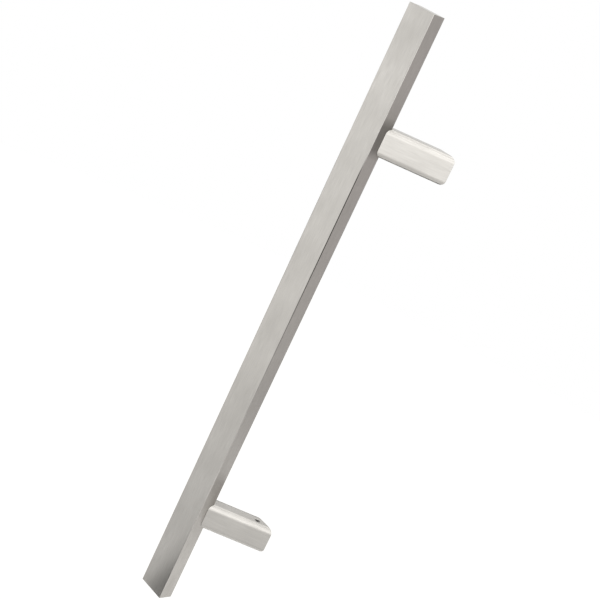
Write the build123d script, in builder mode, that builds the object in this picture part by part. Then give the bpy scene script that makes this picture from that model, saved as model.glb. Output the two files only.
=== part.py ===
from build123d import *
import os
from math import cos, radians, sin, tan

# Door pull handle: a flat bar held beside its fixings by two slanting posts.
# The door's face is the plane Y = 0, the room is on the -Y side and +Z runs up the bar.
# The origin is on the door's face, midway between the two fixing sockets.

# Grip bar, a rectangular tube with its wide face to the room
bar_width = 30.0
bar_depth = 15.0
bar_wall = 1.5
bar_edge_radius = 0.7
bar_rim_chamfer = 0.3
end_plate_thickness = 2.0

# Where the bar stands, from the door and from the fixings
hand_clearance = 40.0
fixing_spacing = 390.0
upper_overhang = 115.0
lower_overhang = 95.0

# Posts, rounded tubes cut off along the door's face to a square foot
post_angle = radians(45)
foot_width = 27.0
post_height = 27.0
post_corner_radius = 5.5
post_wall = 2.0

# Fixing sockets, solid blocks in the posts' door ends
fixing_offset = 4.0
socket_bore_radius = 5.0
socket_bore_depth = 9.0
socket_mouth_chamfer = 0.5
socket_floor = 3.0
socket_fit = 0.05

# Grub screws that clamp the door's spigots in the sockets
screw_radius = 2.5
screw_recess = 0.3
screw_depth = 6.5
screw_backoff = 0.2
screw_chamfer = 0.4
screw_fit = 0.05
screw_hole_chamfer = 0.3
hex_across_flats = 2.5
hex_depth = 2.5
cup_radius = 1.3
cup_depth = 0.8

# Lengths and places that follow
bar_length = upper_overhang + fixing_spacing + lower_overhang
bar_bottom = -fixing_spacing / 2 - lower_overhang
bar_y = -hand_clearance - bar_depth / 2
bar_x = fixing_offset + bar_y * tan(post_angle)
bar_foot = (bar_x, bar_y, bar_bottom)
bar_back_corner = (bar_x + bar_width / 2, bar_y + bar_depth / 2, bar_bottom)
inner_width = bar_width - 2 * bar_wall
inner_depth = bar_depth - 2 * bar_wall
notch_size = bar_width + bar_depth

post_thickness = foot_width * cos(post_angle)
post_direction = (sin(post_angle), cos(post_angle), 0)
post_length = -bar_y / cos(post_angle)
mitre_overrun = post_thickness * tan(post_angle)
bore_height = post_height - 2 * post_wall
bore_thickness = post_thickness - 2 * post_wall
bore_corner_radius = post_corner_radius - post_wall
socket_far_side = fixing_offset + socket_bore_radius
socket_length = socket_far_side * sin(post_angle) + socket_bore_depth * cos(post_angle) + socket_floor
screw_tip = socket_bore_radius + screw_backoff
screw_length = post_height / 2 - screw_tip - screw_recess

fixings = [("upper", fixing_spacing / 2, -1), ("lower", -fixing_spacing / 2, 1)]
end_levels = [("top", bar_bottom + bar_length - end_plate_thickness), ("bottom", bar_bottom)]

os.makedirs("parts", exist_ok=True)


# A plane square to a post's axis, a distance along it from the middle of the bar
def post_plane(height, distance):
    place = (
        bar_x + distance * sin(post_angle),
        bar_y + distance * cos(post_angle),
        height,
    )
    return Plane(origin=place, x_dir=(0, 0, 1), z_dir=post_direction)


# The mouth of a grub screw's hole, on the side of a post that faces the other post
def screw_mouth(height, inward):
    return Plane(origin=(0, -screw_depth, height + inward * post_height / 2), z_dir=(0, 0, inward))


# Grip bar, open at both ends until its plates go in
with BuildPart() as grip_bar:
    with BuildSketch(Plane(origin=bar_foot)):
        RectangleRounded(bar_width, bar_depth, bar_edge_radius)
        Rectangle(inner_width, inner_depth, mode=Mode.SUBTRACT)
    extrude(amount=bar_length)
    ends = grip_bar.faces().filter_by(Axis.Z)
    chamfer([end.outer_wire().edges() for end in ends], length=bar_rim_chamfer)
grip_bar.part.label = "grip_bar"
export_step(grip_bar.part, "parts/grip_bar.step")

# End plates, welded inside the tube and ground level with its ends
for end_name, level in end_levels:
    with BuildPart() as end_plate:
        with BuildSketch(Plane(origin=(bar_x, bar_y, level))):
            Rectangle(inner_width, inner_depth)
        extrude(amount=end_plate_thickness)
    end_plate.part.label = f"end_plate_{end_name}"
    export_step(end_plate.part, f"parts/end_plate_{end_name}.step")

for side, height, inward in fixings:

    # Post, notched round the bar's back corner and cut off along the door's face
    with BuildPart() as post:
        with BuildSketch(post_plane(height, 0)):
            RectangleRounded(post_height, post_thickness, post_corner_radius)
            RectangleRounded(bore_height, bore_thickness, bore_corner_radius, mode=Mode.SUBTRACT)
        extrude(amount=post_length + mitre_overrun)
        split(bisect_by=Plane.XZ, keep=Keep.TOP)
        with BuildSketch(Plane(origin=bar_back_corner)):
            RectangleRounded(notch_size, notch_size, bar_edge_radius, align=(Align.MAX, Align.MAX))
        extrude(amount=bar_length, mode=Mode.SUBTRACT)
        with Locations(screw_mouth(height, inward)):
            CounterSinkHole(screw_radius, screw_radius + screw_hole_chamfer, post_height / 2, 90)
    post.part.label = f"post_{side}"
    export_step(post.part, f"parts/post_{side}.step")

    # Fixing socket, bored from the door's face and tapped from the side
    with BuildPart() as socket:
        with BuildSketch(post_plane(height, post_length - socket_length)):
            RectangleRounded(
                bore_height - 2 * socket_fit,
                bore_thickness - 2 * socket_fit,
                bore_corner_radius - socket_fit,
            )
        extrude(amount=socket_length + mitre_overrun)
        split(bisect_by=Plane.XZ, keep=Keep.TOP)
        with Locations(Plane(origin=(0, 0, height), z_dir=(0, 1, 0))):
            CounterSinkHole(
                socket_bore_radius, socket_bore_radius + socket_mouth_chamfer, socket_bore_depth, 90
            )
        with Locations(screw_mouth(height, inward)):
            Hole(screw_radius, post_height / 2)
    socket.part.label = f"fixing_socket_{side}"
    export_step(socket.part, f"parts/fixing_socket_{side}.step")

    # Grub screw, with a cup at its tip and a hexagon socket at its outer end
    screw_seat = Plane(origin=(0, -screw_depth, height + inward * screw_tip), z_dir=(0, 0, inward))
    with BuildPart() as grub_screw:
        with BuildSketch(screw_seat):
            Circle(screw_radius - screw_fit)
        extrude(amount=screw_length)
        chamfer(grub_screw.edges().filter_by(GeomType.CIRCLE), length=screw_chamfer)
        with BuildSketch(screw_seat.offset(screw_length)):
            RegularPolygon(hex_across_flats / 2, 6, major_radius=False)
        extrude(amount=-hex_depth, mode=Mode.SUBTRACT)
        with Locations(screw_seat):
            Cone(cup_radius, 0, cup_depth, align=(Align.CENTER, Align.CENTER, Align.MIN), mode=Mode.SUBTRACT)
    grub_screw.part.label = f"grub_screw_{side}"
    export_step(grub_screw.part, f"parts/grub_screw_{side}.step")
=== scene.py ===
import math

import bmesh
import bpy
from mathutils import Euler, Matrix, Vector


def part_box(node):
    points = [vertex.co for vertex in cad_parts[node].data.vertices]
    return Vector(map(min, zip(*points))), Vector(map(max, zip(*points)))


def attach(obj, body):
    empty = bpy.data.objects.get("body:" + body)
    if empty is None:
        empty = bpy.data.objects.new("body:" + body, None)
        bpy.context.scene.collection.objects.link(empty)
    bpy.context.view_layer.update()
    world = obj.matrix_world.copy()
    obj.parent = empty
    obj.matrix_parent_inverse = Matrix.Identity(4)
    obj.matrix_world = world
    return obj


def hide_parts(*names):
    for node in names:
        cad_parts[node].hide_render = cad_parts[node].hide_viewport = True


bl_info = {
    "name": "Offset door pull handle",
    "version": (1, 0, 0),
    "blender": (4, 5, 0),
    "location": "View3D > Sidebar > Pull Handle",
    "description": "Finishes a fabricated stainless steel pull handle round its packed frame",
    "category": "Object",
}

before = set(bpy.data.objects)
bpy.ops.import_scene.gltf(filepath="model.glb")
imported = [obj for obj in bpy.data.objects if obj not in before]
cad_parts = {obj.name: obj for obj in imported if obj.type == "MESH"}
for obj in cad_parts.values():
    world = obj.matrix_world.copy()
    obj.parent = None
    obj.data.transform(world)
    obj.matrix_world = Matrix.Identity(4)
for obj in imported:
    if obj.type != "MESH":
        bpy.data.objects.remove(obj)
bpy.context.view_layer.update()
MM = 0.001
BODY = "root"
SIDES = ("upper", "lower")

# The bar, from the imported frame
BAR_LOW, BAR_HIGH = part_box("grip_bar")
BAR_MIDDLE = (BAR_LOW + BAR_HIGH) / 2
BAR_HALF_WIDTH = (BAR_HIGH.x - BAR_LOW.x) / 2
BAR_HALF_DEPTH = (BAR_HIGH.y - BAR_LOW.y) / 2

# The posts: their axis starts in the middle of the bar and slants to the door's face
POST_ANGLE = math.radians(45)
POST_AXIS = Vector((math.sin(POST_ANGLE), math.cos(POST_ANGLE), 0))
POST_ACROSS = Vector((math.cos(POST_ANGLE), -math.sin(POST_ANGLE), 0))
POST_LOW, POST_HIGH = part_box("post_upper")
POST_HALF_HEIGHT = (POST_HIGH.z - POST_LOW.z) / 2
FOOT_LEFT = POST_LOW.x - BAR_HIGH.y * math.tan(POST_ANGLE)
POST_HALF_THICKNESS = (POST_HIGH.x - FOOT_LEFT) * math.cos(POST_ANGLE) / 2

# The grub screws stand on the line of the fixings, which is the line of the origin
SCREW_LOW, SCREW_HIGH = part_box("grub_screw_upper")
SCREW_PLACE = (SCREW_LOW + SCREW_HIGH) / 2
SCREW_RADIUS = (SCREW_HIGH.x - SCREW_LOW.x) / 2
SCREW_LENGTH = SCREW_HIGH.z - SCREW_LOW.z

# How finely the shapes are drawn
CIRCLE_POINTS = 48
TURNS = [2 * math.pi * i / CIRCLE_POINTS for i in range(CIRCLE_POINTS)]
THREAD_RINGS = 96
POST_CORNER_STEPS = 12
BAR_EDGE_STEPS = 6
RIM_STEPS = 3
BAR_SUPPORT = 0.15 * MM
SMALLEST_RADIUS = 0.05 * MM
WELD_DISTANCE = 0.01 * MM

# Tiny discs in the middle of a screw's cup, as a share of its radius, and of its socket's floor
CUP_DISC_SHARE = 0.02
FLOOR_DISC_RADIUS = 0.02 * MM


def linear(tone):
    """Turns an sRGB hex colour into Blender's linear colour."""
    parts = [int(tone[i:i + 2], 16) / 255 for i in (0, 2, 4)]
    return [p / 12.92 if p <= 0.04045 else ((p + 0.055) / 1.055) ** 2.4 for p in parts]


def millimetres(name, value, description):
    """A length property with its default in millimetres."""
    return bpy.props.FloatProperty(
        name=name, description=description, default=value * MM, min=0, unit="LENGTH", precision=5
    )


def colour(name, value, description):
    """A colour property with its default as an sRGB hex colour."""
    return bpy.props.FloatVectorProperty(
        name=name, description=description, default=linear(value), size=3, subtype="COLOR", min=0, max=1
    )


class HandleSizes(bpy.types.PropertyGroup):
    """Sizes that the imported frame's boxes don't give."""

    bar_wall: millimetres("Bar wall", 1.5, "Wall of the rectangular tube")
    bar_edge: millimetres("Bar edge radius", 0.7, "Radius along the bar's four long edges")
    bar_inner_edge: millimetres("Bar inner radius", 0.2, "Radius in the tube's four inner corners")
    bar_rim: millimetres("Bar rim radius", 0.3, "Rounding of the bar's two end rims")
    post_corner: millimetres("Post corner radius", 5.5, "Corner radius of the posts' section")
    post_wall: millimetres("Post wall", 2.0, "Wall of the posts' tube")
    post_ease: millimetres("Post end easing", 0.5, "Rounding of the posts' rims at both ends")
    screw_hole: millimetres("Screw hole radius", 2.5, "Radius of the tapped hole for a grub screw")
    screw_sink: millimetres("Screw hole countersink", 0.3, "Depth of the countersink at the hole's mouth")
    thread_pitch: millimetres("Thread pitch", 0.8, "Pitch of the grub screws' M5 thread")
    thread_depth: millimetres("Thread depth", 0.38, "Depth of the grub screws' thread")
    hexagon: millimetres("Hexagon across flats", 2.5, "Key size of the grub screws")
    hexagon_depth: millimetres("Hexagon depth", 2.5, "Depth of the key socket")
    cup: millimetres("Cup radius", 1.3, "Radius of the cup in the screws' tips")
    cup_depth: millimetres("Cup depth", 0.8, "Depth of the cup in the screws' tips")


class HandleColours(bpy.types.PropertyGroup):
    """Colours of the steel and the floor as each surface looks in plain white light, and the painted shade
    in the bores.
    """

    ground: colour("Ground steel", "C9C6C1", "Face of the ground stainless steel")
    ground_shade: colour("Ground steel, dull", "A6A39E", "Streaks where the belt bit deeper")
    # Dark tone of the lines along the bar's long edges, which also paints the upper post's reflection on the
    # narrow side
    dark_edge: colour("Mill edge", "34322F", "Mill finish where the belt missed the bar")
    machined: colour("Machined steel", "BEBCB9", "Bored and faced socket blocks")
    machined_shade: colour("Machined steel, groove", "A19E99", "Tool marks round the bores")
    # Painted shade down inside the bores
    bore_shade: colour("Drilled steel", "6E6B68", "Walls and floors of the bores")
    screw: colour("Grub screws", "A8A6A2", "Plain rolled steel of the grub screws")
    floor: colour("Floor", "E9E8E6", "Pale floor far below the handle")


# Shapes


def rounded_profile(half_u, half_v, radius, steps, marks=(), support=0.0):
    """Points of a rounded rectangle in order, with one at each mark, a height of v on its corners.

    A support is how far from each end of a corner's arc the straight side gets one more point, which
    keeps the wide faces flat where the arc is shaded smooth.
    """
    points = []
    for sign_u, sign_v, forward in ((1, 1, True), (-1, 1, False), (-1, -1, True), (1, -1, False)):
        angles = [math.pi / 2 * i / steps for i in range(steps + 1)]
        for mark in marks:
            share = (sign_v * mark - half_v + radius) / radius
            if 0 < share < 1:
                angles.append(math.asin(share))
        angles.sort(reverse=not forward)
        corner = [
            (
                sign_u * (half_u - radius + radius * math.cos(angle)),
                sign_v * (half_v - radius + radius * math.sin(angle)),
            )
            for angle in angles
        ]
        if support:
            beside_u = (sign_u * half_u, sign_v * (half_v - radius - support))
            beside_v = (sign_u * (half_u - radius - support), sign_v * half_v)
            ends = (beside_u, beside_v) if forward else (beside_v, beside_u)
            corner = [ends[0], *corner, ends[1]]
        points += corner
    return points


def bridge(mesh, rings):
    """Joins each ring of a mesh's points to the next with a band of faces."""
    for ring, after in zip(rings, rings[1:]):
        for i in range(len(ring)):
            k = (i + 1) % len(ring)
            mesh.faces.new((ring[i], ring[k], after[k], after[i]))


def loft(rings, closed=True):
    """A mesh skinned over rings that all have as many points; a closed one joins the last to the first."""
    mesh = bmesh.new()
    made = [[mesh.verts.new(point) for point in ring] for ring in rings]
    if closed:
        made.append(made[0])
    else:
        mesh.faces.new(made[0])
        mesh.faces.new(made[-1])
    bridge(mesh, made)
    bmesh.ops.recalc_face_normals(mesh, faces=mesh.faces)
    return mesh


def add_piece(name, mesh):
    """Puts a bmesh into the scene as a new object at the origin."""
    data = bpy.data.meshes.new(name)
    mesh.to_mesh(data)
    mesh.free()
    piece = bpy.data.objects.new(name, data)
    bpy.context.scene.collection.objects.link(piece)
    return piece


def settle(piece):
    """Replaces a piece's mesh with its evaluated one and drops its modifiers."""
    graph = bpy.context.evaluated_depsgraph_get()
    plain = bpy.data.meshes.new_from_object(piece.evaluated_get(graph), depsgraph=graph)
    piece.modifiers.clear()
    piece.data = plain


def smooth(piece, sharp_angle=35):
    """Shades a piece smooth but for its sharp edges, and keeps its flat faces flat to the eye."""
    piece.data.shade_smooth()
    piece.data.set_sharp_from_angle(angle=math.radians(sharp_angle))
    weighted = piece.modifiers.new("flat faces", "WEIGHTED_NORMAL")
    weighted.keep_sharp = True
    settle(piece)


def finish_piece(piece, material, slot, *nodes):
    """Gives a new piece its material and its body, and hides the CAD nodes it stands for; the slot is not
    used.
    """
    piece.data.materials.clear()
    piece.data.materials.append(material)
    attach(piece, BODY)
    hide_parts(*nodes)


def dress_node(node, material):
    """Gives a CAD node a material."""
    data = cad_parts[node].data
    data.materials.clear()
    data.materials.append(material)


def bar_surface(across):
    """How far along a post's axis its line at this distance across leaves the bar's outline."""
    edge = bpy.context.scene.handle_sizes.bar_edge
    to_side = (BAR_HALF_WIDTH - across * POST_ACROSS.x) / POST_AXIS.x
    to_back = (BAR_HALF_DEPTH - across * POST_ACROSS.y) / POST_AXIS.y
    start = min(to_side, to_back)
    corner = Vector((BAR_HALF_WIDTH - edge, BAR_HALF_DEPTH - edge, 0))
    from_corner = POST_ACROSS * across + POST_AXIS * start - corner
    if min(from_corner.x, from_corner.y) < 0:
        return start
    from_corner = POST_ACROSS * across - corner
    along = from_corner.dot(POST_AXIS)
    return -along + math.sqrt(along ** 2 - from_corner.length_squared + edge ** 2)


def door_surface(across):
    """How far along a post's axis its line at this distance across meets the door's face."""
    return (-BAR_MIDDLE.y - across * POST_ACROSS.y) / POST_AXIS.y


def corner_marks():
    """Where across a post the bar's rounded back corner begins, peaks and ends."""
    edge = bpy.context.scene.handle_sizes.bar_edge
    peak = BAR_HALF_WIDTH * POST_ACROSS.x + BAR_HALF_DEPTH * POST_ACROSS.y
    return (peak - edge * POST_ACROSS.x, peak, peak - edge * POST_ACROSS.y)


def post_ring(middle, inset, surface, shift):
    """One ring of a post: its section drawn in by an inset, on a surface and shifted along the axis."""
    sizes = bpy.context.scene.handle_sizes
    profile = rounded_profile(
        POST_HALF_HEIGHT - inset,
        POST_HALF_THICKNESS - inset,
        sizes.post_corner - inset,
        steps=POST_CORNER_STEPS,
        marks=corner_marks(),
    )
    return [
        middle + Vector((0, 0, up)) + POST_ACROSS * across + POST_AXIS * (surface(across) + shift)
        for up, across in profile
    ]


def eased(ease):
    """Insets and shifts of the rings that round a rim off, from its face to its side."""
    angles = [math.pi / 2 * i / RIM_STEPS for i in range(RIM_STEPS + 1)]
    return [(ease * (1 - math.sin(angle)), ease * (1 - math.cos(angle))) for angle in angles]


def post_mesh(height):
    """A post as a rounded tube between the bar's outline and the door's face."""
    sizes = bpy.context.scene.handle_sizes
    middle = Vector((BAR_MIDDLE.x, BAR_MIDDLE.y, height))
    rims = eased(sizes.post_ease)
    rings = [post_ring(middle, inset, bar_surface, shift) for inset, shift in rims]
    rings += [post_ring(middle, inset, door_surface, -shift) for inset, shift in rims[::-1]]
    rings.append(post_ring(middle, sizes.post_wall, door_surface, 0))
    rings.append(post_ring(middle, sizes.post_wall, bar_surface, 0))
    return loft(rings)


def circle(centre, radius, height):
    """Points of a level circle."""
    spots = [(radius * math.cos(turn), radius * math.sin(turn)) for turn in TURNS]
    return [Vector((centre.x + x, centre.y + y, height)) for x, y in spots]


def bore_screw_hole(post, height, inward):
    """Cuts the tapped hole and its countersink into the side of a post that faces the other post.

    The countersink's cone starts as far outside the mouth as it ends inside, so its cut is clean.
    """
    sizes = bpy.context.scene.handle_sizes
    mouth = height + inward * POST_HALF_HEIGHT
    wide = sizes.screw_hole + 2 * sizes.screw_sink
    cutter = add_piece(
        "cutter",
        loft(
            [
                circle(SCREW_PLACE, wide, mouth + inward * sizes.screw_sink),
                circle(SCREW_PLACE, sizes.screw_hole, mouth - inward * sizes.screw_sink),
                circle(SCREW_PLACE, sizes.screw_hole, height),
            ],
            closed=False,
        ),
    )
    cut = post.modifiers.new("screw hole", "BOOLEAN")
    cut.operation = "DIFFERENCE"
    cut.solver = "EXACT"
    cut.object = cutter
    settle(post)
    bpy.data.objects.remove(cutter)


# Materials

# Marks in the finishes: length along the grain and width across it
SCRATCH = (14 * MM, 0.5 * MM)
BAND = (70 * MM, 3 * MM)
CLOUD = (45 * MM, 28 * MM)
MACHINED_PATCH = (6 * MM, 6 * MM)
ROLLED_PATCH = (1.2 * MM, 1.2 * MM)

# How far the marks go towards a finish's duller colour, and how dark that is on the screws
BAND_SHARE = 0.12
CLOUD_SHARE = 0.36
GROOVE_SHARE = 1.0
ROLLED_SHARE = 0.7
ROLLED_DARKNESS = 0.6

# Roughness from the palest to the dullest mark, what the clouds add to it, and how deep the marks are
GROUND_ROUGHNESS = (0.30, 0.38)
CLOUD_ROUGHNESS = (-0.03, 0.03)
MACHINED_ROUGHNESS = (0.26, 0.34)
ROLLED_ROUGHNESS = (0.35, 0.5)
MARK_DEPTH = 0.02 * MM

# Dark lines on the bar's long edges: heights between which they fade, at the upper post and further down,
# and how quickly they fill the rounding of an edge
EDGE_TOP_FADE = (160 * MM, 185 * MM)
EDGE_FOOT_FADE = (-150 * MM, 80 * MM)
EDGE_GAIN = 3

# Painted dark reflection of the upper post on the bar's narrow side: its middle above the post's, distances
# from there between which it fades, its share, and how far a point may lie off the narrow side
REFLECTION_RISE = 2.5 * MM
REFLECTION_FADE = (11 * MM, 20 * MM)
REFLECTION_SHARE = 0.46
SIDE_TOLERANCE = 0.1 * MM

# Rings round the bores, and the places along a bore between which the painted shade inside it sets in
RING_SPACING = 2.2 * MM
BORE_SHADE_FADE = (-3 * MM, -0.5 * MM)


def add(tree, kind, settings=None, **links):
    """Adds a node with its settings, and links its inputs to sockets or sets them to plain values.

    An input goes by its name, with an underscore for a space, or by its index after an underscore.
    """
    node = tree.nodes.new(kind)
    for name, value in (settings or {}).items():
        setattr(node, name, value)
    for name, value in links.items():
        socket = node.inputs[int(name[1:])] if name[1:].isdigit() else node.inputs[name.replace("_", " ")]
        if isinstance(value, bpy.types.NodeSocket):
            tree.links.new(value, socket)
        else:
            socket.default_value = value
    return node


def empty_material(name):
    """A material and its node tree, with nothing in it."""
    material = bpy.data.materials.new(name)
    material.use_nodes = True
    material.node_tree.nodes.clear()
    return material, material.node_tree


def new_metal(name):
    """A material with a metallic Principled shader and its output in place."""
    material, tree = empty_material(name)
    shader = add(tree, "ShaderNodeBsdfPrincipled", Metallic=1.0)
    add(tree, "ShaderNodeOutputMaterial", Surface=shader.outputs[0])
    return material, tree, shader


def grain(tree, turn, along, across, detail=3.0):
    """Noise drawn out along a piece's grain, for streaks of this length and width in metres."""
    place = add(tree, "ShaderNodeTexCoord").outputs["Object"]
    turned = add(tree, "ShaderNodeMapping", {"vector_type": "TEXTURE"}, Vector=place, Rotation=turn)
    stretch = (1 / along, 1 / across, 1 / across)
    scaled = add(tree, "ShaderNodeMapping", Vector=turned.outputs[0], Scale=stretch)
    noise = add(tree, "ShaderNodeTexNoise", Vector=scaled.outputs[0], Scale=1.0, Detail=detail)
    return noise.outputs["Fac"]


def remap(tree, value, low, high, start=0.3, end=0.7):
    """Spreads a value from start to end, by default the middle of a noise, from low to high."""
    node = add(
        tree, "ShaderNodeMapRange", Value=value, From_Min=start, From_Max=end, To_Min=low, To_Max=high
    )
    return node.outputs[0]


def blend(tree, share, first, second):
    """Mixes two colours by a share."""
    node = add(tree, "ShaderNodeMix", {"data_type": "RGBA"}, _0=share, _6=first, _7=second)
    return node.outputs[2]


def ground_steel(name, turn, streaks=0.5, darkened=False):
    """Satin stainless steel, ground with a fine belt along the piece.

    The eye gets a soft, nearly neutral grey that is cloudy by a few centimetres where the belt
    pressed unevenly, with short fine streaks along the grain and highlights that spread across it.
    The belt's scratches are about 0.1 mm apart, which is too fine to show, so they are drawn 0.5 mm
    apart. On the bar, dark lines run along its long edges below the upper post, and its narrow side right
    beside that post gets a painted dark reflection of the post.
    """
    colours = bpy.context.scene.handle_colours
    material, tree, shader = new_metal(name)
    scratches = grain(tree, turn, *SCRATCH)
    bands = grain(tree, turn, *BAND, detail=2.0)
    clouds = grain(tree, turn, *CLOUD, detail=2.0)
    face = (*colours.ground, 1)
    shade = (*colours.ground_shade, 1)
    streaked = blend(tree, remap(tree, scratches, 0.0, streaks), face, shade)
    banded = blend(tree, remap(tree, bands, 0.0, BAND_SHARE), streaked, shade)
    tone = blend(tree, remap(tree, clouds, 0.0, CLOUD_SHARE), banded, shade)
    # Dark lines along the long edges, and the painted dark reflection of the upper post on the narrow side
    if darkened:
        for share in (painted_post_reflection(tree), dark_edge(tree)):
            tone = blend(tree, share, tone, (*colours.dark_edge, 1))
    tree.links.new(tone, shader.inputs["Base Color"])
    roughness = add(
        tree,
        "ShaderNodeMath",
        {"operation": "ADD"},
        _0=remap(tree, scratches, *GROUND_ROUGHNESS),
        _1=remap(tree, clouds, *CLOUD_ROUGHNESS),
    )
    tree.links.new(roughness.outputs[0], shader.inputs["Roughness"])
    shader.inputs["Anisotropic"].default_value = 0.45
    direction = Euler(turn).to_matrix() @ Vector((1, 0, 0))
    tangent = add(tree, "ShaderNodeCombineXYZ", X=direction.x, Y=direction.y, Z=direction.z)
    tree.links.new(tangent.outputs[0], shader.inputs["Tangent"])
    bump = add(tree, "ShaderNodeBump", Height=scratches, Strength=0.12, Distance=MARK_DEPTH)
    tree.links.new(bump.outputs[0], shader.inputs["Normal"])
    return material


def dark_edge(tree):
    """Share of the dark tone on the marked edges, strongest below the upper post and thinning down."""
    place = add(tree, "ShaderNodeTexCoord").outputs["Object"]
    parts = add(tree, "ShaderNodeSeparateXYZ", Vector=place)
    below_post = remap(tree, parts.outputs["Z"], 1.0, 0.0, *EDGE_TOP_FADE)
    thinning = remap(tree, parts.outputs["Z"], 0.0, 1.0, *EDGE_FOOT_FADE)
    along = add(tree, "ShaderNodeMath", {"operation": "MULTIPLY"}, _0=below_post, _1=thinning)
    marked = add(tree, "ShaderNodeAttribute", {"attribute_name": "dark_edge"}).outputs["Fac"]
    share = add(tree, "ShaderNodeMath", {"operation": "MULTIPLY"}, _0=marked, _1=along.outputs[0])
    return share.outputs[0]


def painted_post_reflection(tree):
    """Share of the painted dark reflection of the upper post on the bar's narrow side, right beside the
    post.
    """
    place = add(tree, "ShaderNodeTexCoord").outputs["Object"]
    parts = add(tree, "ShaderNodeSeparateXYZ", Vector=place)
    # Painted reflection: the upper post's dark reflection is painted into the narrow side's colour here
    middle = fixing_height() + REFLECTION_RISE
    above = add(tree, "ShaderNodeMath", {"operation": "SUBTRACT"}, _0=parts.outputs["Z"], _1=middle)
    away = add(tree, "ShaderNodeMath", {"operation": "ABSOLUTE"}, _0=above.outputs[0])
    beside = remap(tree, away.outputs[0], REFLECTION_SHARE, 0.0, *REFLECTION_FADE)
    on_side = add(
        tree,
        "ShaderNodeMath",
        {"operation": "COMPARE"},
        _0=parts.outputs["X"],
        _1=BAR_HIGH.x,
        _2=SIDE_TOLERANCE,
    )
    share = add(tree, "ShaderNodeMath", {"operation": "MULTIPLY"}, _0=beside, _1=on_side.outputs[0])
    return share.outputs[0]


def machined_steel(name):
    """Stainless steel bored and faced on a machine.

    The eye gets fine rings round each bore and a darker grey down inside it, which is painted
    shade. The rings of a real facing cut are 0.15 mm apart, and are drawn 2.2 mm apart so that they
    show.
    """
    colours = bpy.context.scene.handle_colours
    material, tree, shader = new_metal(name)
    place = add(tree, "ShaderNodeTexCoord").outputs["Object"]
    parts = add(tree, "ShaderNodeSeparateXYZ", Vector=place)
    distance_up = add(tree, "ShaderNodeMath", {"operation": "ABSOLUTE"}, _0=parts.outputs["Z"])
    beside = add(
        tree, "ShaderNodeMath", {"operation": "SUBTRACT"}, _0=distance_up.outputs[0], _1=fixing_height()
    )
    flat = add(tree, "ShaderNodeCombineXYZ", X=parts.outputs["X"], Z=beside.outputs[0])
    distance = add(tree, "ShaderNodeVectorMath", {"operation": "LENGTH"}, _0=flat.outputs[0])
    turns = add(
        tree, "ShaderNodeMath", {"operation": "MULTIPLY"}, _0=distance.outputs["Value"], _1=1 / RING_SPACING
    )
    rings = add(tree, "ShaderNodeMath", {"operation": "PINGPONG"}, _0=turns.outputs[0], _1=0.5)
    groove = remap(tree, rings.outputs[0], 0.0, GROOVE_SHARE, 0.0, 0.5)
    faced = blend(tree, groove, (*colours.machined, 1), (*colours.machined_shade, 1))
    # Painted shade: the bore's colour turns darker further down inside it
    depth = remap(tree, parts.outputs["Y"], 1.0, 0.0, *BORE_SHADE_FADE)
    tone = blend(tree, depth, faced, (*colours.bore_shade, 1))
    tree.links.new(tone, shader.inputs["Base Color"])
    patches = grain(tree, (0, 0, 0), *MACHINED_PATCH)
    tree.links.new(remap(tree, patches, *MACHINED_ROUGHNESS), shader.inputs["Roughness"])
    bump = add(tree, "ShaderNodeBump", Height=rings.outputs[0], Strength=0.05, Distance=MARK_DEPTH)
    tree.links.new(bump.outputs[0], shader.inputs["Normal"])
    return material


def screw_steel(name):
    """Rolled stainless steel of a socket screw.

    The eye gets a darker, patchy grey that is duller than the handle round it.
    """
    colours = bpy.context.scene.handle_colours
    material, tree, shader = new_metal(name)
    patches = grain(tree, (0, 0, 0), *ROLLED_PATCH)
    dark = [ROLLED_DARKNESS * part for part in colours.screw]
    tone = blend(tree, remap(tree, patches, 0.0, ROLLED_SHARE), (*colours.screw, 1), (*dark, 1))
    tree.links.new(tone, shader.inputs["Base Color"])
    tree.links.new(remap(tree, patches, *ROLLED_ROUGHNESS), shader.inputs["Roughness"])
    return material


def fixing_height():
    """Height of the upper fixing above the origin."""
    return (POST_LOW.z + POST_HIGH.z) / 2


def upright_grain():
    """Turn that lays the grain up the bar."""
    return (0, -math.pi / 2, 0)


def slanted_grain():
    """Turn that lays the grain along the posts."""
    return (0, 0, math.pi / 2 - POST_ANGLE)


# Operators


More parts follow.
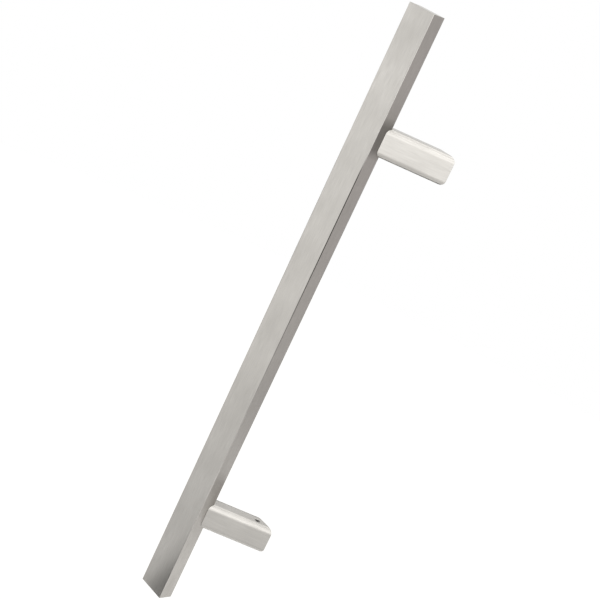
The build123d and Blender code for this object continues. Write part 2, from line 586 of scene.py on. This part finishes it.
class HANDLE_OT_grip_bar(bpy.types.Operator):
    """Makes the grip bar as a rectangular tube with rounded edges and eased rims"""

    bl_idname = "handle.grip_bar"
    bl_label = "Grip Bar"

    def execute(self, context):
        sizes = context.scene.handle_sizes
        rims = eased(sizes.bar_rim)
        rings = [self.ring(sizes.bar_edge, inset, BAR_LOW.z + shift) for inset, shift in rims]
        rings += [self.ring(sizes.bar_edge, inset, BAR_HIGH.z - shift) for inset, shift in rims[::-1]]
        inner_edge = sizes.bar_inner_edge + sizes.bar_wall
        rings.append(self.ring(inner_edge, sizes.bar_wall, BAR_HIGH.z))
        rings.append(self.ring(inner_edge, sizes.bar_wall, BAR_LOW.z))
        bar = add_piece("grip_bar_ground", loft(rings))
        self.mark_edges(bar, sizes.bar_edge)
        smooth(bar)
        material = ground_steel("ground stainless, upright", upright_grain(), darkened=True)
        finish_piece(bar, material, "satin_stainless", "grip_bar")
        return {"FINISHED"}

    @staticmethod
    def ring(edge, inset, height):
        """One level ring of the bar's section, drawn in by an inset."""
        profile = rounded_profile(
            BAR_HALF_WIDTH - inset,
            BAR_HALF_DEPTH - inset,
            max(edge - inset, SMALLEST_RADIUS),
            steps=BAR_EDGE_STEPS,
            support=BAR_SUPPORT,
        )
        return [Vector((BAR_MIDDLE.x + u, BAR_MIDDLE.y + v, height)) for u, v in profile]

    @staticmethod
    def mark_edges(bar, edge):
        """Gives points on the rounded long edges a value for the dark edge lines, which is full at their
        middle.
        """
        values = bar.data.attributes.new("dark_edge", "FLOAT", "POINT")
        for vertex in bar.data.vertices:
            past_u = abs(vertex.co.x - BAR_MIDDLE.x) - (BAR_HALF_WIDTH - edge)
            past_v = abs(vertex.co.y - BAR_MIDDLE.y) - (BAR_HALF_DEPTH - edge)
            inside = min(past_u, past_v) / edge
            values.data[vertex.index].value = min(max(inside * EDGE_GAIN, 0), 1)


class HANDLE_OT_end_plates(bpy.types.Operator):
    """Gives the two end plates their ground finish"""

    bl_idname = "handle.end_plates"
    bl_label = "End Plates"

    def execute(self, context):
        material = ground_steel("ground stainless, level", (0, 0, 0))
        for node in ("end_plate_top", "end_plate_bottom"):
            dress_node(node, material)
        return {"FINISHED"}


class HANDLE_OT_posts(bpy.types.Operator):
    """Makes the two slanting posts, eased at their rims and bored for the grub screws"""

    bl_idname = "handle.posts"
    bl_label = "Posts"

    def execute(self, context):
        material = ground_steel("ground stainless, slanted", slanted_grain(), streaks=0.32)
        for side, sign in zip(SIDES, (1, -1)):
            height = sign * fixing_height()
            post = add_piece(f"post_{side}_ground", post_mesh(height))
            bore_screw_hole(post, height, -sign)
            smooth(post)
            finish_piece(post, material, "satin_stainless", f"post_{side}")
        return {"FINISHED"}


class HANDLE_OT_sockets(bpy.types.Operator):
    """Gives the socket blocks in the posts' door ends their machined finish"""

    bl_idname = "handle.sockets"
    bl_label = "Fixing Sockets"

    def execute(self, context):
        material = machined_steel("machined stainless")
        for side in SIDES:
            dress_node(f"fixing_socket_{side}", material)
        return {"FINISHED"}


class HANDLE_OT_grub_screws(bpy.types.Operator):
    """Makes the grub screws with their thread, hexagon socket and cup"""

    bl_idname = "handle.grub_screws"
    bl_label = "Grub Screws"

    def execute(self, context):
        material = screw_steel("rolled stainless")
        for side, sign in zip(SIDES, (1, -1)):
            screw = add_piece(f"grub_screw_{side}_threaded", self.ends(sign))
            modifier = screw.modifiers.new("thread", "NODES")
            modifier.node_group = self.thread_tree(material)
            self.set_inputs(context, modifier, sign)
            settle(screw)
            self.turn_outward(screw)
            smooth(screw)
            finish_piece(screw, material, "grub_screw_steel", f"grub_screw_{side}")
        return {"FINISHED"}

    @staticmethod
    def levels(sign):
        """Heights of a screw's tip and of its outer end, which faces the other post."""
        tip = sign * SCREW_HIGH.z
        return tip, tip - sign * SCREW_LENGTH

    def ends(self, sign):
        """The two ends of a screw without its threaded shank: a cup at the tip and a hexagon socket."""
        sizes = bpy.context.scene.handle_sizes
        tip, outer = self.levels(sign)
        root = SCREW_RADIUS - sizes.thread_depth
        mesh = bmesh.new()
        cup = []
        for share in (CUP_DISC_SHARE, 1):
            depth = sizes.cup_depth * (1 - share)
            cup.append(circle(SCREW_PLACE, sizes.cup * share, tip - sign * depth))
        rim = circle(SCREW_PLACE, root, tip)
        self.skin(mesh, [*cup, rim])
        socket = self.hexagon(sizes.hexagon / 2)
        mouth = [Vector((p.x, p.y, outer)) for p in socket]
        floor = [Vector((p.x, p.y, outer + sign * sizes.hexagon_depth)) for p in socket]
        centre = circle(SCREW_PLACE, FLOOR_DISC_RADIUS, outer + sign * sizes.hexagon_depth)
        self.skin(mesh, [centre, floor, mouth, circle(SCREW_PLACE, root, outer)])
        return mesh

    @staticmethod
    def hexagon(half):
        """Points round a hexagon, as many as on a circle."""
        points = []
        for turn in TURNS:
            across = (turn + math.pi / 6) % (math.pi / 3) - math.pi / 6
            reach = half / math.cos(across)
            points.append(SCREW_PLACE + Vector((reach * math.cos(turn), reach * math.sin(turn), 0)))
        return points

    @staticmethod
    def skin(mesh, rings):
        """Skins rings inside a mesh and closes the first one with a face."""
        made = [[mesh.verts.new(point) for point in ring] for ring in rings]
        mesh.faces.new(made[0])
        bridge(mesh, made)

    @staticmethod
    def turn_outward(screw):
        """Turns every face outward, once the ends and the shank are one mesh."""
        mesh = bmesh.new()
        mesh.from_mesh(screw.data)
        bmesh.ops.recalc_face_normals(mesh, faces=mesh.faces)
        mesh.to_mesh(screw.data)
        mesh.free()

    @staticmethod
    def set_inputs(context, modifier, sign):
        """Sets the tree's named inputs by their identifiers."""
        sizes = context.scene.handle_sizes
        values = {
            "Radius": SCREW_RADIUS,
            "Depth": sizes.thread_depth,
            "Pitch": sizes.thread_pitch,
            "Length": SCREW_LENGTH,
            "Place": (SCREW_PLACE.x, SCREW_PLACE.y, sign * SCREW_PLACE.z),
        }
        for item in modifier.node_group.interface.items_tree:
            if item.name in values:
                modifier[item.identifier] = values[item.name]

    @staticmethod
    def thread_tree(material):
        """A tree that adds a threaded shank to a screw's ends, by a rule for its radius."""
        tree = bpy.data.node_groups.new("screw thread", "GeometryNodeTree")
        face = tree.interface
        face.new_socket("Geometry", in_out="INPUT", socket_type="NodeSocketGeometry")
        for name in ("Radius", "Depth", "Pitch", "Length"):
            face.new_socket(name, in_out="INPUT", socket_type="NodeSocketFloat")
        face.new_socket("Place", in_out="INPUT", socket_type="NodeSocketVector")
        face.new_socket("Geometry", in_out="OUTPUT", socket_type="NodeSocketGeometry")
        given = add(tree, "NodeGroupInput").outputs
        root = add(tree, "ShaderNodeMath", {"operation": "SUBTRACT"}, _0=given["Radius"], _1=given["Depth"])
        shank = add(
            tree,
            "GeometryNodeMeshCylinder",
            {"fill_type": "NONE"},
            Vertices=CIRCLE_POINTS,
            Side_Segments=THREAD_RINGS,
            Radius=root.outputs[0],
            Depth=given["Length"],
        )
        parts = add(tree, "ShaderNodeSeparateXYZ", Vector=add(tree, "GeometryNodeInputPosition").outputs[0])
        angle = add(
            tree, "ShaderNodeMath", {"operation": "ARCTAN2"}, _0=parts.outputs["Y"], _1=parts.outputs["X"]
        )
        turn = add(tree, "ShaderNodeMath", {"operation": "DIVIDE"}, _0=angle.outputs[0], _1=2 * math.pi)
        rise = add(tree, "ShaderNodeMath", {"operation": "DIVIDE"}, _0=parts.outputs["Z"], _1=given["Pitch"])
        phase = add(
            tree, "ShaderNodeMath", {"operation": "SUBTRACT"}, _0=rise.outputs[0], _1=turn.outputs[0]
        )
        ridge = add(tree, "ShaderNodeMath", {"operation": "PINGPONG"}, _0=phase.outputs[0], _1=0.5)
        from_middle = add(tree, "ShaderNodeMath", {"operation": "ABSOLUTE"}, _0=parts.outputs["Z"])
        half = add(tree, "ShaderNodeMath", {"operation": "DIVIDE"}, _0=given["Length"], _1=2.0)
        left = add(
            tree, "ShaderNodeMath", {"operation": "SUBTRACT"}, _0=half.outputs[0], _1=from_middle.outputs[0]
        )
        fade = add(
            tree,
            "ShaderNodeMapRange",
            Value=left.outputs[0],
            From_Max=given["Pitch"],
            To_Max=given["Depth"],
        )
        height = add(
            tree, "ShaderNodeMath", {"operation": "MULTIPLY"}, _0=ridge.outputs[0], _1=fade.outputs[0]
        )
        doubled = add(tree, "ShaderNodeMath", {"operation": "MULTIPLY"}, _0=height.outputs[0], _1=2.0)
        flat = add(tree, "ShaderNodeCombineXYZ", X=parts.outputs["X"], Y=parts.outputs["Y"])
        outward = add(tree, "ShaderNodeVectorMath", {"operation": "NORMALIZE"}, _0=flat.outputs[0])
        push = add(
            tree,
            "ShaderNodeVectorMath",
            {"operation": "SCALE"},
            _0=outward.outputs[0],
            Scale=doubled.outputs[0],
        )
        cut = add(
            tree, "GeometryNodeSetPosition", Geometry=shank.outputs["Mesh"], Offset=push.outputs[0]
        )
        placed = add(
            tree, "GeometryNodeTransform", Geometry=cut.outputs[0], Translation=given["Place"]
        )
        joined = add(tree, "GeometryNodeJoinGeometry")
        tree.links.new(given["Geometry"], joined.inputs[0])
        tree.links.new(placed.outputs[0], joined.inputs[0])
        merged = add(tree, "GeometryNodeMergeByDistance", Geometry=joined.outputs[0], Distance=WELD_DISTANCE)
        real = add(tree, "GeometryNodeRealizeInstances", Geometry=merged.outputs[0])
        dressed = add(tree, "GeometryNodeSetMaterial", Geometry=real.outputs[0], Material=material)
        add(tree, "NodeGroupOutput", Geometry=dressed.outputs[0])
        return tree


# Stage

FLOOR_HEIGHT = -1.05
FLOOR_RADIUS = 4.0
CAMERA_PLACE = Vector((0.6523, -0.8865, 0.3659))
CAMERA_AZIMUTH = math.radians(39.30)
CAMERA_DIP = math.radians(16.89)
CAMERA_ROLL = math.radians(25.22)
CAMERA_LENS = 76.48
SENSOR = 36.0

# Softboxes: name, azimuth and elevation seen from the handle in degrees, distance, width, height,
# and how bright each looks from the handle
SOFTBOXES = (
    ("low front softbox", 51, -10, 1.6, 0.9, 0.6, 0.55),
    ("front softbox", 51, 12, 1.6, 1.9, 0.6, 1.0),
    ("high front softbox", 51, 34, 1.6, 1.6, 0.6, 0.95),
    ("higher front softbox", 51, 56, 1.6, 0.9, 0.6, 0.85),
    ("near overhead softbox", 51, 75, 0.8, 0.35, 0.35, 0.82),
    ("near rear softbox", -143, 75, 0.8, 0.35, 0.35, 1.03),
    ("low left softbox", -41, -8, 1.8, 1.0, 0.6, 0.2),
    ("left softbox", -41, 10, 1.8, 1.0, 0.6, 0.37),
)
# Cards that only the steel mirrors: the same columns, with a colour in place of the brightness
CARDS = (
    ("right card", 141, 4, 1.2, 1.7, 0.9, "CECACA"),
    ("low right card", 141, -26, 1.3, 1.7, 0.28, "B8B5B5"),
    ("low left card", -40, -42, 0.8, 0.9, 0.42, "ECECEC"),
    ("floor card", 51, -60, 0.7, 0.7, 0.5, "F3F3F3"),
    ("rear card", -143, 3, 1.2, 1.1, 0.2, "0A0A0A"),
    ("low rear card", -145, -50, 1.0, 0.6, 0.6, "2C2C2C"),
    ("near dark card", -18.8, -63.4, 0.351, 0.1, 0.092, "0A0A0A"),
)
# Strength of the white studio where it is seen and where it only lights, and of the floor's own glow
SEEN_LEVEL = 1.0
PLAIN_LEVEL = 0.6
FLOOR_LIFT = 0.55


class HANDLE_OT_stage(bpy.types.Operator):
    """Makes the floor, the softboxes, the cards, the white studio and the camera"""

    bl_idname = "handle.stage"
    bl_label = "Stage"

    def execute(self, context):
        self.floor(context)
        for softbox in SOFTBOXES:
            self.softbox(context, *softbox)
        for card in CARDS:
            self.card(*card)
        self.studio(context)
        self.camera(context)
        context.scene.view_settings.view_transform = "Standard"
        return {"FINISHED"}

    @staticmethod
    def seen(tree):
        """One for rays from the camera and for those that metal mirrors or glass passes on, else zero."""
        rays = add(tree, "ShaderNodeLightPath").outputs
        seen = rays["Is Camera Ray"]
        for other in ("Is Glossy Ray", "Is Transmission Ray"):
            seen = add(tree, "ShaderNodeMath", {"operation": "MAXIMUM"}, _0=seen, _1=rays[other]).outputs[0]
        return seen

    def floor(self, context):
        """A round pale floor, as far below the handle as a room's is, white where it is seen.

        It is clear from below, where it would hide the handle's underside.
        """
        mesh = bmesh.new()
        bmesh.ops.create_circle(mesh, cap_ends=True, radius=FLOOR_RADIUS, segments=96)
        bmesh.ops.translate(mesh, verts=mesh.verts, vec=(0, 0, FLOOR_HEIGHT))
        floor = add_piece("floor", mesh)
        material, tree = empty_material("pale painted floor")
        tone = (*context.scene.handle_colours.floor, 1)
        matt = add(tree, "ShaderNodeBsdfDiffuse", Color=tone)
        lift = add(tree, "ShaderNodeMath", {"operation": "MULTIPLY"}, _0=self.seen(tree), _1=FLOOR_LIFT)
        glow = add(tree, "ShaderNodeEmission", Strength=lift.outputs[0])
        both = add(tree, "ShaderNodeAddShader", _0=matt.outputs[0], _1=glow.outputs[0])
        below = add(tree, "ShaderNodeNewGeometry").outputs["Backfacing"]
        clear = add(tree, "ShaderNodeBsdfTransparent")
        shown = add(tree, "ShaderNodeMixShader", _0=below, _1=both.outputs[0], _2=clear.outputs[0])
        add(tree, "ShaderNodeOutputMaterial", Surface=shown.outputs[0])
        floor.data.materials.append(material)

    @staticmethod
    def facing(azimuth, elevation, distance):
        """A place seen from the handle at these angles, turned to face it."""
        turn, tilt = math.radians(azimuth), math.radians(elevation)
        towards = Vector((math.sin(turn) * math.cos(tilt), -math.cos(turn) * math.cos(tilt), math.sin(tilt)))
        return towards * distance, towards.to_track_quat("Z", "Y").to_euler()

    def softbox(self, context, name, azimuth, elevation, distance, width, height, brightness):
        """A rectangular lamp that faces the handle."""
        data = bpy.data.lights.new(name, "AREA")
        data.shape = "RECTANGLE"
        data.size, data.size_y = width, height
        data.energy = brightness * math.pi * width * height
        lamp = bpy.data.objects.new(name, data)
        lamp.location, lamp.rotation_euler = self.facing(azimuth, elevation, distance)
        lamp.visible_camera = False
        context.scene.collection.objects.link(lamp)

    def card(self, name, azimuth, elevation, distance, width, height, tone):
        """A pale, grey or black card that only the steel mirrors; it shades nothing."""
        mesh = bmesh.new()
        bmesh.ops.create_grid(mesh, x_segments=1, y_segments=1, size=0.5)
        bmesh.ops.scale(mesh, verts=mesh.verts, vec=(width, height, 1))
        card = add_piece(name, mesh)
        card.location, card.rotation_euler = self.facing(azimuth, elevation, distance)
        card.visible_camera = False
        card.visible_diffuse = False
        card.visible_shadow = False
        material, tree = empty_material(name)
        glow = add(tree, "ShaderNodeEmission", Color=(*linear(tone), 1))
        add(tree, "ShaderNodeOutputMaterial", Surface=glow.outputs[0])
        card.data.materials.append(material)

    def studio(self, context):
        """A plain white studio, at a lower level for the rays that only light the floor."""
        world = bpy.data.worlds.new("white studio")
        world.use_nodes = True
        context.scene.world = world
        tree = world.node_tree
        tree.nodes.clear()
        strength = add(
            tree, "ShaderNodeMix", {"data_type": "FLOAT"}, _0=self.seen(tree), _2=PLAIN_LEVEL, _3=SEEN_LEVEL
        )
        sky = add(tree, "ShaderNodeBackground", Color=(1, 1, 1, 1), Strength=strength.outputs[0])
        add(tree, "ShaderNodeOutputWorld", Surface=sky.outputs[0])

    @staticmethod
    def camera(context):
        """The camera, at the place and angles from which the handle's edges line up with their picture."""
        data = bpy.data.cameras.new("camera")
        data.lens = CAMERA_LENS
        data.sensor_width = SENSOR
        camera = bpy.data.objects.new("camera", data)
        camera.location = CAMERA_PLACE
        upright = Euler((math.pi / 2 - CAMERA_DIP, 0, CAMERA_AZIMUTH)).to_matrix()
        rolled = upright @ Euler((0, 0, CAMERA_ROLL)).to_matrix()
        camera.rotation_euler = rolled.to_euler()
        context.scene.collection.objects.link(camera)
        context.scene.camera = camera


class HANDLE_PT_panel(bpy.types.Panel):
    """Lists the handle's pieces, sizes and colours"""

    bl_label = "Pull Handle"
    bl_idname = "HANDLE_PT_panel"
    bl_space_type = "VIEW_3D"
    bl_region_type = "UI"
    bl_category = "Pull Handle"

    def draw(self, context):
        for operator in OPERATORS:
            self.layout.operator(operator.bl_idname)
        for group in (context.scene.handle_sizes, context.scene.handle_colours):
            box = self.layout.box()
            for name in group.__annotations__:
                box.prop(group, name)


OPERATORS = (
    HANDLE_OT_grip_bar,
    HANDLE_OT_end_plates,
    HANDLE_OT_posts,
    HANDLE_OT_sockets,
    HANDLE_OT_grub_screws,
    HANDLE_OT_stage,
)
CLASSES = (HandleSizes, HandleColours, *OPERATORS, HANDLE_PT_panel)


def register():
    for item in CLASSES:
        bpy.utils.register_class(item)
    bpy.types.Scene.handle_sizes = bpy.props.PointerProperty(type=HandleSizes)
    bpy.types.Scene.handle_colours = bpy.props.PointerProperty(type=HandleColours)


def unregister():
    del bpy.types.Scene.handle_colours
    del bpy.types.Scene.handle_sizes
    for item in reversed(CLASSES):
        bpy.utils.unregister_class(item)


def main():
    """Registers the add-on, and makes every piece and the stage."""
    register()
    bpy.ops.handle.grip_bar()
    bpy.ops.handle.end_plates()
    bpy.ops.handle.posts()
    bpy.ops.handle.sockets()
    bpy.ops.handle.grub_screws()
    bpy.ops.handle.stage()


if __name__ == "__main__":
    main()
